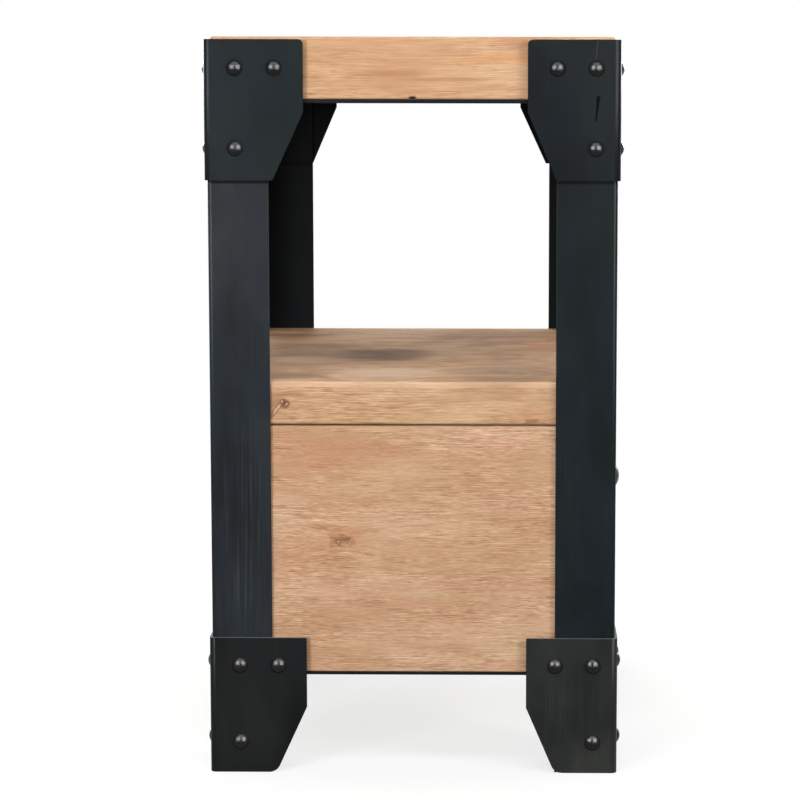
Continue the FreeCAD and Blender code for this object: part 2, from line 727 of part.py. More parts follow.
# ---------------------------------------------------------------- what the drawer runs in
def guide(side, sign, heading):
    """Board that fills the cabinet out to the gap between the posts, notched over the
    front rail."""
    middle = f"{sign}(guide_inner + guide_thickness / 2)"
    board = block(f"drawer_guide_{side}",
                  ("guide_thickness", "inner_y + back_inner", "shelf_base - floor_top"),
                  (middle, "(back_inner - inner_y) / 2", "floor_top"), "panel_round")
    low = (local(board, "y", "-(inner_y)"), "0")
    high = (local(board, "y", "-(back_inner)"), "front_rail_top - floor_top")
    cut(board, "+x", "-(guide_thickness) / 2",
        lambda sketch: rectangle(sketch, low, high), "guide_thickness")
    inner = f"{sign}(guide_inner)"
    drill(board, heading, inner, guide_screws, "screw_shank", "guide_thickness", head=True)
    strips = [(y, "runner_base + runner_height / 2") for y in STRIP_ROW]
    drill(board, heading, inner, strips, "screw_shank", "board_screw_length - runner_width")


def runner(side, sign, heading):
    """Hardwood strip that the drawer side slides on, screwed to the guide."""
    strip = block(f"drawer_runner_{side}", ("runner_width", "runner_length", "runner_height"),
                  (f"{sign}(runner_middle)", strip_middle, "runner_base"), "panel_round")
    spots = [(y, "runner_base + runner_height / 2") for y in STRIP_ROW]
    drill(strip, heading, f"{sign}(guide_inner - runner_width)", spots, "screw_shank",
          "runner_width", head=True)


def kicker(side, sign):
    """Strip over the drawer side that keeps the open drawer level."""
    strip = block(f"drawer_kicker_{side}", ("runner_width", "runner_length", "kicker_height"),
                  (f"{sign}(runner_middle)", strip_middle, "kicker_base"), "panel_round")
    spots = [(f"{sign}(runner_middle)", y) for y in STRIP_ROW]
    drill(strip, "+z", "kicker_base", spots, "screw_shank", "kicker_height", head=True)


def inner_screws():
    guides, runners, kickers = [], [], []
    for sign, heading in (("-", "-x"), ("", "+x")):
        face = f"{sign}(guide_inner)"
        strip_face = f"{sign}(guide_inner - runner_width)"
        guides += [(guide_screw, heading, face, y, z) for y, z in guide_screws]
        runners += [(board_screw, heading, strip_face, y, "runner_base + runner_height / 2")
                    for y in STRIP_ROW]
        kickers += [(strip_screw, "+z", f"{sign}(runner_middle)", y, "kicker_base")
                    for y in STRIP_ROW]
    group("guide_screws", guides)
    group("runner_screws", runners)
    group("kicker_screws", kickers)


def stops():
    """Two blocks behind the drawer, and one under the shelf that catches its back."""
    stop = bar("stop_block", ("rear_stop_width", "rear_stop_depth", "rear_stop_height"),
               "panel_round")
    middle = "back_inner - rear_stop_depth / 2"
    group("rear_stops", [(stop, "-z", x, middle, "panel_top + rear_stop_lift")
                         for x in ("-rear_stop_spread", "rear_stop_spread")])
    base = "shelf_base - pull_stop_height"
    catch = block("pull_stop", ("pull_stop_width", "pull_stop_depth", "pull_stop_height"),
                  ("0", pull_stop_middle, base), "panel_round")
    drill(catch, "+z", base, [("0", pull_stop_middle)], "screw_shank", "pull_stop_height",
          head=True)
    group("pull_stop_screw", [(guide_screw, "+z", "0", pull_stop_middle, base)])


for side, sign, heading in (("left", "-", "-x"), ("right", "", "+x")):
    guide(side, sign, heading)
    runner(side, sign, heading)
    kicker(side, sign)
inner_screws()
stops()

# ---------------------------------------------------------------- drawer
DOWEL_LEVELS = ["side_base + side_height * 0.2", "side_base + side_height * 0.52",
                "side_base + side_height * 0.84"]
SCREW_LEVELS = ["side_base + side_height * 0.36", "side_base + side_height * 0.75"]
side_line = "drawer_half - drawer_board / 2"
back_line = "drawer_tail - drawer_board / 2"
groove_height = "bottom_panel + groove_play"


def drawer_front():
    board = block("drawer_front", ("2 * drawer_half", "front_thickness", "front_height"),
                  ("0", "front_face + front_thickness / 2", "front_base"), "board_round")
    spots = [(f"{sign}({side_line})", z) for sign in ("-", "") for z in DOWEL_LEVELS]
    drill(board, "-y", "front_back", spots, "drawer_dowel", "drawer_dowel_depth")
    drill(board, "-y", "front_back", [("0", "knob_level")], "knob_screw", "front_thickness")
    low = ("-(drawer_inner + groove_depth)", local(board, "z", "panel_base"))
    high = ("drawer_inner + groove_depth", local(board, "z", f"panel_base + {groove_height}"))
    cut(board, "-y", local(board, "y", "front_back"),
        lambda sketch: rectangle(sketch, low, high), "groove_depth")


def drawer_side(side, sign, inward, outward):
    board = block(f"drawer_side_{side}", ("drawer_board", "drawer_run", "side_height"),
                  (f"{sign}({side_line})", "front_back + drawer_run / 2", "side_base"),
                  "board_round")
    spots = [(f"{sign}({side_line})", z) for z in DOWEL_LEVELS]
    drill(board, "+y", "front_back", spots, "drawer_dowel", "drawer_dowel_depth")
    drill(board, inward, f"{sign}(drawer_half)", [(back_line, z) for z in SCREW_LEVELS],
          "screw_shank", "drawer_board", head=True)
    low = ("-(drawer_run) / 2", "groove_lift")
    high = ("drawer_run / 2", f"groove_lift + {groove_height}")
    cut(board, outward, local(board, "x", f"{sign}(drawer_inner)"),
        lambda sketch: rectangle(sketch, low, high), "groove_depth")


def drawer_back():
    height = "side_height - back_drop - groove_lift - bottom_panel"
    board = block("drawer_back", ("2 * drawer_inner", "drawer_board", height),
                  ("0", back_line, "panel_top"), "board_round")
    levels = [(back_line, z) for z in SCREW_LEVELS]
    drill_ends(board, levels, "screw_shank", "board_screw_length - drawer_board",
               "drawer_inner")
    drill(board, "+z", "panel_top", [(x, back_line) for x in LONG_SCREWS], "screw_shank",
          "strip_screw_length - bottom_panel")


def drawer_bottom():
    """Thin panel in the grooves of the front and sides, screwed up into the back."""
    reach = "groove_depth - groove_end_play"
    panel = block("drawer_bottom",
                  (f"2 * (drawer_inner + {reach})", f"drawer_run + {reach}", "bottom_panel"),
                  ("0", f"front_back + (drawer_run - ({reach})) / 2", "panel_base"),
                  "steel_ease")
    drill(panel, "+z", "panel_base", [(x, back_line) for x in LONG_SCREWS], "screw_shank",
          "bottom_panel", head=True)


def drawer_fixings():
    sides, dowels = [], []
    dowel = turned("small_dowel", [
        ("0", "-2 * drawer_dowel_depth"), ("drawer_dowel / 2", "-2 * drawer_dowel_depth"),
        ("drawer_dowel / 2", "0"), ("0", "0")])
    start = "front_back - drawer_dowel_depth"
    for sign, inward in (("-", "+x"), ("", "-x")):
        sides += [(board_screw, inward, f"{sign}(drawer_half)", back_line, z)
                  for z in SCREW_LEVELS]
        dowels += [(dowel, "+y", f"{sign}({side_line})", start, z) for z in DOWEL_LEVELS]
    group("drawer_screws", sides)
    group("drawer_dowels", dowels)
    group("drawer_bottom_screws",
          [(strip_screw, "+z", x, back_line, "panel_base") for x in LONG_SCREWS])


def knob():
    """A foot on the drawer front, a neck and a domed cap, with a threaded hole."""
    bore = "knob_screw / 2 + hole_play"
    shape = turned("knob_turned", [
        (bore, "0"), ("knob_foot / 2", "0"), ("knob_foot / 2", "knob_foot_height / 2"),
        ("knob_neck / 2", "knob_foot_height"), ("knob_neck / 2", "knob_rim - knob_flare"),
        ("knob_diameter / 2", "knob_rim"), ("0", "knob_projection"),
        ("0", "knob_bore_depth"), (bore, "knob_bore_depth")],
        bulge=(5, ("knob_diameter * 0.35", "knob_rim + (knob_projection - knob_rim) * 0.7")))
    group("knob", [(shape, "+y", "0", "front_face", "knob_level")])
    screw = turned("knob_screw_turned", [
        ("0", "-front_thickness - knob_screw_reach"),
        ("knob_screw / 2", "-front_thickness - knob_screw_reach"), ("knob_screw / 2", "0"),
        ("knob_screw_head / 2", "0"), ("knob_screw_head / 2 - 1", "knob_screw_head_height"),
        ("0", "knob_screw_head_height")])
    group("knob_screw", [(screw, "-y", "0", "front_back", "knob_level")])


drawer_front()
drawer_side("left", "-", "+x", "-x")
drawer_side("right", "", "-x", "+x")
drawer_back()
drawer_bottom()
drawer_fixings()
knob()

# ---------------------------------------------------------------- check and write
doc.recompute()
faults = [thing.Name for thing in doc.Objects
          if "Invalid" in thing.State or "Error" in thing.State]
for part in parts:
    if part.Shape.isNull() or not part.Shape.isValid() or not part.Shape.Solids:
        faults.append(part.Label)
if faults:
    raise RuntimeError("failed objects: " + ", ".join(faults))
os.makedirs("parts", exist_ok=True)
for part in parts:
    part.Shape.exportStep(f"parts/{part.Label}.step")
print(len(parts), "nodes written")
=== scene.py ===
"""A small side table: black steel corner posts, acacia top, shelf and drawer cabinet.

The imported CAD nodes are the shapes. This script gives each one its material and fine edges,
and adds the floor, the lights and the camera. Lengths are in metres, x to the right, the
drawer opens towards -y, and z is up. A surface's colours are written as sRGB, 0 to 255; those
of the floor and the world are linear.
"""
import math

import bpy
from mathutils import Matrix, Vector


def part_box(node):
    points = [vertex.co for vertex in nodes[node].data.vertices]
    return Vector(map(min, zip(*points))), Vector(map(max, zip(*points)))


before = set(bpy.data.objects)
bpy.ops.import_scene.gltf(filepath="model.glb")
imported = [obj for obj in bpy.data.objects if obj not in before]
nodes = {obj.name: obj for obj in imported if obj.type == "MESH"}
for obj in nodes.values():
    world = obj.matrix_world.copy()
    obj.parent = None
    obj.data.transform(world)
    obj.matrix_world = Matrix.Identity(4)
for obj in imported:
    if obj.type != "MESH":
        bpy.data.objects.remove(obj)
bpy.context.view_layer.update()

MM = 0.001
WHITE = (1, 1, 1, 1)


# ---------------------------------------------------------------- camera

CAMERA_PLACE = (-1.9866, -0.0717, 0.5155)
CAMERA_TURN = (0.42, -6.38, 0.107)  # yaw, pitch and roll in degrees
CAMERA_SHIFT = (-0.12, -0.055)
CAMERA_LENS = 109.35


def make_camera():
    """A long lens just under the tabletop's level, looking slightly down at the left side."""
    data = bpy.data.cameras.new("camera")
    data.sensor_width = 36
    data.lens = CAMERA_LENS
    data.shift_x, data.shift_y = CAMERA_SHIFT
    data.clip_start = 0.05
    data.clip_end = 60
    camera = bpy.data.objects.new("camera", data)
    bpy.context.scene.collection.objects.link(camera)
    yaw, pitch, roll = (math.radians(angle) for angle in CAMERA_TURN)
    forward = Vector((math.cos(yaw) * math.cos(pitch), math.sin(yaw) * math.cos(pitch),
                      math.sin(pitch)))
    level = forward.cross(Vector((0, 0, 1))).normalized()
    upright = level.cross(forward)
    right = level * math.cos(roll) + upright * math.sin(roll)
    up = upright * math.cos(roll) - level * math.sin(roll)
    axes = Matrix((right, up, -forward)).transposed()
    camera.matrix_world = Matrix.Translation(CAMERA_PLACE) @ axes.to_4x4()
    bpy.context.scene.camera = camera


make_camera()


# ---------------------------------------------------------------- node helpers

def srgb(r, g, b):
    """A colour written as 0 to 255, as linear RGBA."""
    def linear(c):
        c /= 255
        return c / 12.92 if c <= 0.04045 else ((c + 0.055) / 1.055) ** 2.4
    return (linear(r), linear(g), linear(b), 1)


class Tree:
    """The nodes of a material or a world, with a short call for each kind of node."""

    def __init__(self, owner, output="ShaderNodeOutputMaterial"):
        owner.use_nodes = True
        self.owner = owner
        self.tree = owner.node_tree
        self.tree.nodes.clear()
        self.output = self.node(output)

    def node(self, kind, inputs=(), **settings):
        made = self.tree.nodes.new(kind)
        for key, value in settings.items():
            setattr(made, key, value)
        for key, value in dict(inputs).items():
            self.feed(made.inputs[key], value)
        return made

    def feed(self, socket, value):
        if isinstance(value, bpy.types.NodeSocket):
            self.tree.links.new(value, socket)
        else:
            socket.default_value = value

    def math(self, operation, *values):
        made = self.node("ShaderNodeMath", operation=operation)
        for socket, value in zip(made.inputs, values):
            self.feed(socket, value)
        return made.outputs[0]

    def add(self, *values):
        total = values[0]
        for value in values[1:]:
            total = self.math("ADD", total, value)
        return total

    def times(self, *values):
        product = values[0]
        for value in values[1:]:
            product = self.math("MULTIPLY", product, value)
        return product

    def minus(self, first, second):
        return self.math("SUBTRACT", first, second)

    def centred(self, value):
        """A noise from 0 to 1, moved so that its middle is 0."""
        return self.minus(value, 0.5)

    def size(self, value):
        return self.math("ABSOLUTE", value)

    def square(self, value):
        return self.math("POWER", value, 2.0)

    def greater(self, first, second):
        return self.math("MAXIMUM", first, second)

    def point(self, x, y, z):
        return self.node("ShaderNodeCombineXYZ", {"X": x, "Y": y, "Z": z}).outputs[0]

    def split(self, vector):
        return self.node("ShaderNodeSeparateXYZ", {"Vector": vector}).outputs[:3]

    def vector(self, operation, first, second):
        return self.node("ShaderNodeVectorMath", {0: first, 1: tuple(second)},
                         operation=operation).outputs["Vector"]

    def length(self, vector):
        return self.node("ShaderNodeVectorMath", {0: vector},
                         operation="LENGTH").outputs["Value"]

    def place(self):
        """The point on the piece, which stays with it when it moves."""
        return self.node("ShaderNodeTexCoord").outputs["Object"]

    def facing(self):
        """The x, y and z of the face's own normal."""
        return self.split(self.node("ShaderNodeNewGeometry").outputs["True Normal"])

    def noise(self, vector, detail=2.0, roughness=0.5, distortion=0.0):
        return self.node(
            "ShaderNodeTexNoise",
            {"Vector": vector, "Scale": 1.0, "Detail": detail, "Roughness": roughness,
             "Distortion": distortion}).outputs["Fac"]

    def cells(self, place, x, y, z, detail=2.0, roughness=0.5):
        """Noise with its own number of cells a metre along each axis."""
        return self.noise(self.vector("MULTIPLY", place, (x, y, z)), detail, roughness)

    def step(self, value, low, high, to_low=0.0, to_high=1.0):
        """A smooth change from to_low to to_high as the value goes from low to high."""
        return self.node(
            "ShaderNodeMapRange",
            {"Value": value, "From Min": low, "From Max": high, "To Min": to_low,
             "To Max": to_high}, interpolation_type="SMOOTHSTEP").outputs["Result"]

    def fade(self, value, low, high, from_top=1.0):
        """A smooth fall from from_top to nothing."""
        return self.step(value, low, high, from_top, 0.0)

    def mix(self, factor, first, second, blend="MIX"):
        made = self.node("ShaderNodeMix", data_type="RGBA", blend_type=blend)
        for index, value in ((0, factor), (6, first), (7, second)):
            self.feed(made.inputs[index], value)
        return made.outputs[2]

    def bump(self, height, strength, distance):
        return self.node("ShaderNodeBump", {"Height": height, "Strength": strength,
                                            "Distance": distance}).outputs["Normal"]

    def seen(self):
        """1 where the camera sees it, straight, in gloss or through glass."""
        ray = self.node("ShaderNodeLightPath").outputs
        return self.greater(ray["Is Camera Ray"],
                            self.greater(ray["Is Glossy Ray"], ray["Is Transmission Ray"]))

    def shader_mix(self, factor, first, second):
        made = self.node("ShaderNodeMixShader", {0: factor})
        self.feed(made.inputs[1], first.outputs[0])
        self.feed(made.inputs[2], second.outputs[0])
        return made

    def surface(self, shader):
        self.feed(self.output.inputs["Surface"], shader.outputs[0])

    def principled(self, **inputs):
        """The surface. The names are the shader's own, with _ for a space."""
        shader = self.node("ShaderNodeBsdfPrincipled")
        for key, value in inputs.items():
            self.feed(shader.inputs[key.replace("_", " ")], value)
        self.surface(shader)
        return self.owner


def material_tree(name):
    return Tree(bpy.data.materials.new(name))


# ---------------------------------------------------------------- wood

SWAY = 4 * MM  # how far the grain wanders
WOOD_ROUGHNESS = 0.66
WOOD_SPECULAR = 0.022
PLANK_SHIFTS = 7.0  # how far apart the planks of a board lie in the noise
GRAIN_ORDER = {"X": (0, 1, 2), "Y": (1, 0, 2), "Z": (2, 0, 1)}

PINK, YELLOW, DASH = (210, 160, 132), (206, 172, 128), (152, 100, 66)
SMOKE, CHALK, DUST = (142, 102, 72), (216, 184, 156), (154, 122, 93)
KNOT_RING, KNOT_HEART = (194, 134, 96), (112, 76, 46)
CRACK, CRACK_HEART = (110, 66, 42), (222, 186, 152)
# ARRIS_HIGHLIGHT is a painted highlight for a rounded arris, SEAM_SHADE a painted shadow line
# in a joint
GLUE, ARRIS_HIGHLIGHT, SEAM_SHADE, PORE = (124, 86, 60), (240, 202, 168), (72, 44, 26), (128, 84, 54)


def along_grain(parts, grain):
    """Three parts of a vector as along the grain, across it and through it."""
    return [parts[index] for index in GRAIN_ORDER[grain]]


def offset_along(t, place, centre, grain):
    """The way from a centre to the point: along the grain, across it and through it."""
    return along_grain(t.split(t.vector("SUBTRACT", place, centre)), grain)


def cut_planks(t, parts, staves, seed):
    """The point's plank in a glued board.

    Returns its shift in the noise, its tone, how near the point is to a joint, and how far
    into the plank it lies. A board of one plank has no joint.
    """
    if not staves:
        return float(seed), 0.5, None, None
    axis, edge, width = staves
    count = t.times(t.minus(parts["XYZ".index(axis)], edge), 1 / width)
    index = t.math("FLOOR", count)
    tone = t.node("ShaderNodeTexWhiteNoise", {"W": t.add(index, seed)},
                  noise_dimensions="1D").outputs["Value"]
    shift = t.add(t.times(tone, PLANK_SHIFTS), float(seed))
    inside = t.minus(count, index)
    nearest = t.math("MINIMUM", inside, t.minus(1.0, inside))
    return shift, tone, t.fade(nearest, 0.0, 0.5 * MM / width), inside


def knot_fields(t, place, grain, knots):
    """What the knots do at the point.

    Returns how dark they are, how strong the ring round them is, and how far they push the
    grain aside, across and through.
    """
    heart, ring, push_across, push_through = 0.0, 0.0, 0.0, 0.0
    for centre, radius, strength in knots:
        ka, kb, kc = offset_along(t, place, centre, grain)
        ragged = t.noise(t.point(t.times(ka, 170.0), t.times(kb, 300.0), t.times(kc, 300.0)),
                         3.0, 0.6)
        spread = t.length(t.point(t.times(ka, 0.5), kb, kc))
        reach = t.times(spread, t.add(0.2, t.times(ragged, 1.6)))
        dark = t.times(t.fade(reach, radius * 0.3, radius),
                       t.step(ragged, 0.34, 0.6, strength, strength * 0.4))
        around = t.times(t.fade(spread, radius * 0.4, radius * 3.6), strength)
        heart = t.greater(heart, dark)
        ring = t.greater(ring, around)
        push = t.times(around, radius * 0.7)
        push_across = t.add(push_across, t.times(t.math("SIGN", kb), push))
        push_through = t.add(push_through, t.times(t.math("SIGN", kc), push))
    return heart, ring, push_across, push_through


def stains_and_shade(t, colour, place, grain, marks, drift, streak):
    """Soft stains and painted shade, with edges that follow the drift of the tones."""
    for centre, half, strength, shade in marks:
        ma, mb, mc = offset_along(t, place, centre, grain)
        bend = t.times(t.centred(drift), half[1] * 3.0)
        far = t.add(t.square(t.times(ma, 1 / half[0])),
                    t.square(t.times(t.add(mb, bend), 1 / half[1])),
                    t.square(t.times(mc, 1 / half[2])))
        stain = t.times(t.fade(far, 0.0, 1.8),
                        t.step(streak, 0.3, 0.6, strength * 0.7, strength))
        colour = t.mix(stain, colour, srgb(*shade))
    return colour


def cracked(t, colour, place, grain, cracks, streak):
    """Short cracks, dark with a pale heart, on a face that shows along and through."""
    depth = 20 * MM
    for centre, slope, half_length, half_width in cracks:
        ca, cb, cc = offset_along(t, place, centre, grain)
        lean, rise = math.cos(math.radians(slope)), math.sin(math.radians(slope))
        run = t.add(t.times(ca, lean), t.times(cc, rise))
        side = t.add(t.times(cc, lean), t.times(ca, -rise),
                     t.times(t.centred(streak), half_width * 1.5))
        away = t.add(t.square(t.times(run, 1 / half_length)),
                     t.square(t.times(side, 1 / half_width)),
                     t.square(t.times(cb, 1 / depth)))
        colour = t.mix(t.fade(away, 0.6, 1.8, 0.55), colour, srgb(*CRACK))
        colour = t.mix(t.fade(away, 0.1, 0.6, 0.75), colour, srgb(*CRACK_HEART))
    return colour


def greyed(t, colour, along, across, shift, upper, grey):
    """Smoky and chalky swirls on a board's upper face, under a thin grey."""
    swirl = t.noise(t.point(t.times(along, 13.0), t.times(across, 17.0), shift), 2.0, 0.5, 1.8)
    colour = t.mix(t.times(upper, t.step(swirl, 0.46, 0.64, 0.0, 0.4)), colour, srgb(*SMOKE))
    colour = t.mix(t.times(upper, t.step(swirl, 0.5, 0.34, 0.0, 0.4)), colour, srgb(*CHALK))
    return t.mix(t.times(upper, grey), colour, srgb(*DUST))


def end_grain(t, place, ring_across, through, tone, drift, shift, middle, deep):
    """Growth rings and pores, for the faces where the fibres end."""
    ring_radius = t.math("SQRT", t.add(
        t.square(t.add(ring_across, t.times(tone, -0.05))),
        t.square(t.add(through, t.times(drift, 0.01), 0.02))))
    rings = t.noise(t.point(t.times(ring_radius, 420.0), shift, 0.0), 1.5, 0.6)
    pores = t.cells(place, 1300.0, 1300.0, 1300.0, 2.0, 0.6)
    cut = t.mix(t.step(rings, 0.36, 0.64), middle, deep)
    return t.mix(t.step(pores, 0.56, 0.7, 0.0, 0.5), cut, srgb(*PORE))


def wood(name, grain, tones, seed, staves=None, marks=(), knots=(), cracks=(), grey=0.0,
         dashes=1.0, fine=(170.0, 2600.0, 1.6), seam_shade_at=None, arris_highlight_at=None, calm=0.3):
    """Lacquered acacia with long grain along one axis.

    tones: pale, middle and deep colours. staves: (axis, first edge, width) of a glued board.
    marks: soft stains and painted shade (centre, half lengths along, across and through,
    strength, colour).
    knots: (centre, radius, strength). grey: how much greyer the board's upper face is.
    cracks: in a knot (centre, slope in degrees, half length, half width).
    dashes: the strength of sparse darker dashes.
    fine: the fibres' cells a metre along and across the grain, and their contrast.
    seam: the level of a painted shadow line in the joint with the next board.
    arris_highlight_at: the level of a painted highlight along the rounded arris.
    calm: how much fainter the fibres are on the upper face.
    """
    t = material_tree(name)
    place = t.place()
    parts = t.split(place)
    along, across, through = along_grain(parts, grain)
    shift, plank_tone, joint, inside = cut_planks(t, parts, staves, seed)

    # the grain wanders slowly, and bends round each knot
    slow = t.point(t.times(along, 6.5), t.add(t.times(across, 11.0), shift),
                   t.times(through, 11.0))
    wander = t.node("ShaderNodeTexNoise", {"Vector": slow, "Scale": 1.0, "Detail": 1.5})
    sway_a, sway_b, _ = t.split(wander.outputs["Color"])
    knot_heart, knot_ring, push_across, push_through = knot_fields(t, place, grain, knots)
    across_bent = t.add(across, t.times(t.centred(sway_a), SWAY), push_across)
    through_bent = t.add(through, t.times(t.centred(sway_b), SWAY), push_through)

    def drawn(u, v, detail=2.0, rough=0.5, extra=0.0):
        """Noise drawn out along the grain: u and v are in cells a metre."""
        return t.noise(
            t.point(t.add(t.times(along, u), extra), t.add(t.times(across_bent, v), shift),
                    t.times(through_bent, v)), detail, rough)

    # soft blotches between the pale, middle and deep tones, some pinker and some yellower
    drift = drawn(8.0, 26.0, 3.0, 0.55)
    blush = drawn(12.0, 40.0, 3.0, 0.6, 3.7)
    bands = drawn(3.0, 120.0, 2.0, 0.5, 8.3)
    hue = drawn(13.0, 46.0, 2.0, 0.55, 2.2)
    pale, middle, deep = (srgb(*tone) for tone in tones)
    colour = t.mix(t.step(drift, 0.34, 0.62), pale, middle)
    colour = t.mix(t.step(blush, 0.46, 0.7, 0.0, 0.6), colour, deep)
    colour = t.mix(t.step(bands, 0.42, 0.72, 0.0, 0.3), colour, deep)
    colour = t.mix(t.step(hue, 0.5, 0.7, 0.0, 0.35), colour, srgb(*PINK))
    colour = t.mix(t.step(hue, 0.5, 0.32, 0.0, 0.25), colour, srgb(*YELLOW))

    # fine fibres light and dark, and sparse darker dashes between them
    fine_along, fine_across, fine_contrast = fine
    short = drawn(fine_along, fine_across, 1.0, 0.5, 1.3)
    long = drawn(fine_along * 0.3, fine_across * 0.7, 1.0, 0.5, 7.7)
    fibre = t.times(t.add(short, long), 0.5)
    streak = drawn(34.0, 430.0, 2.0, 0.5, 6.1)
    patchy = drawn(16.0, 70.0, 2.0, 0.5, 5.2)
    facing = t.facing()
    upper = t.step(facing[2], 0.5, 0.98)
    contrast = t.times(t.minus(1.0, t.times(upper, calm)),
                       t.step(patchy, 0.34, 0.64, 0.45, 1.15))
    wave = t.add(t.times(t.centred(fibre), fine_contrast * 1.6, contrast),
                 t.times(t.centred(streak), 0.12, contrast))
    level = [t.add(1.0, t.times(wave, share)) for share in (0.8, 1.0, 1.2)]
    colour = t.mix(1.0, colour, t.point(*level), "MULTIPLY")
    fleck = drawn(84.0, 1050.0, 1.5, 0.5, 9.1)
    dash = t.times(t.step(fleck, 0.6, 0.7), t.step(patchy, 0.36, 0.62), contrast, dashes)
    colour = t.mix(t.times(dash, 0.3), colour, srgb(*DASH))
    if grey:
        colour = greyed(t, colour, along, across, shift, upper, grey)

    # stains and painted shade, knots, glue lines, cracks, a painted highlight on the arris and
    # a painted shadow line in the joint
    colour = stains_and_shade(t, colour, place, grain, marks, drift, streak)
    colour = t.mix(t.times(knot_ring, 0.3), colour, srgb(*KNOT_RING))
    colour = t.mix(t.times(knot_heart, 0.9), colour, srgb(*KNOT_HEART))
    if staves:
        tint = t.step(plank_tone, 0.0, 1.0, 0.96, 1.05)
        colour = t.mix(1.0, colour, t.point(tint, tint, tint), "MULTIPLY")
        colour = t.mix(t.times(joint, 0.45), colour, srgb(*GLUE))
    colour = cracked(t, colour, place, grain, cracks, streak)
    # a painted highlight along the rounded arris, just under the upper face
    if arris_highlight_at:
        rubbed = t.times(t.step(parts[2], arris_highlight_at - 5.5 * MM, arris_highlight_at - 4.2 * MM),
                         t.fade(upper, 0.3, 0.7), t.step(patchy, 0.34, 0.6, 0.25, 1.0))
        colour = t.mix(t.times(rubbed, 0.6), colour, srgb(*ARRIS_HIGHLIGHT))
    # a painted shadow line in the joint with the next board, where shade falls
    if seam_shade_at:
        beside = t.size(t.minus(parts[2], seam_shade_at))
        colour = t.mix(t.fade(beside, 0.4 * MM, 0.9 * MM, 0.8), colour, srgb(*SEAM_SHADE))

    ends = t.step(t.size(along_grain(facing, grain)[0]), 0.7, 0.95)
    ring_across = (t.add(t.times(inside, staves[2]), 4 * MM) if staves
                   else t.add(across, 300 * MM))
    cut = end_grain(t, place, ring_across, through, plank_tone, drift, shift, middle, deep)
    colour = t.mix(t.times(ends, 0.75), colour, cut)

    height = t.add(t.times(fibre, 0.6), t.times(dash, -0.7), t.times(knot_heart, -0.5))
    roughness = t.add(WOOD_ROUGHNESS, t.times(t.centred(fibre), 0.15), t.times(dash, 0.12))
    return t.principled(Base_Color=colour, Roughness=roughness,
                        Specular_IOR_Level=WOOD_SPECULAR, Normal=t.bump(height, 0.3, 0.3 * MM))


def plywood(name, seed):
    """Thin birch ply: pale faces, darker and lighter layers on the edges."""
    t = material_tree(name)
    x, y, z = t.split(t.place())
    veneer = t.noise(t.point(t.times(x, 6.0), t.times(y, 190.0), t.add(t.times(z, 20.0), seed)),
                     3.0, 0.6)
    layer = t.step(t.math("SINE", t.times(z, 2 * math.pi / (1.6 * MM))), -0.2, 0.2)
    normal = t.split(t.node("ShaderNodeNewGeometry").outputs["Normal"])
    edge = t.fade(t.size(normal[2]), 0.4, 0.8)
    colour = t.mix(veneer, srgb(196, 160, 118), srgb(228, 200, 160))
    colour = t.mix(t.times(edge, layer, 0.6), colour, srgb(140, 102, 70))
    return t.principled(Base_Color=colour, Roughness=0.62, Specular_IOR_Level=0.3,
                        Normal=t.bump(veneer, 0.25, 0.3 * MM))


# ---------------------------------------------------------------- metal

BLACK = (0, 0, 0)
INSIDE_SHADE = (3, 3, 3)  # painted shade on faces towards the table's inside
RIM_HIGHLIGHT = (118, 128, 128)  # a painted highlight on a plate's upper cut edge


def scratched(t, colour, place, lines):
    """Upright scratches that taper and lean, and how deep they are at the point."""
    depth = 0.0
    for centre, half_width, half_height, shade, strength in lines:
        dx, dy, dz = offset_along(t, place, centre, "X")
        taper = t.step(dz, -half_height, half_height, 2.0, 0.8)
        beside = t.times(t.size(t.add(dy, t.times(dz, 0.1))), taper)
        scratch = t.times(t.fade(beside, half_width * 0.4, half_width),
                          t.fade(t.size(dz), half_height * 0.7, half_height),
                          t.fade(t.size(dx), 3 * MM, 4 * MM), strength)
        depth = t.greater(depth, scratch)
        colour = t.mix(scratch, colour, srgb(*shade))
    return colour, depth


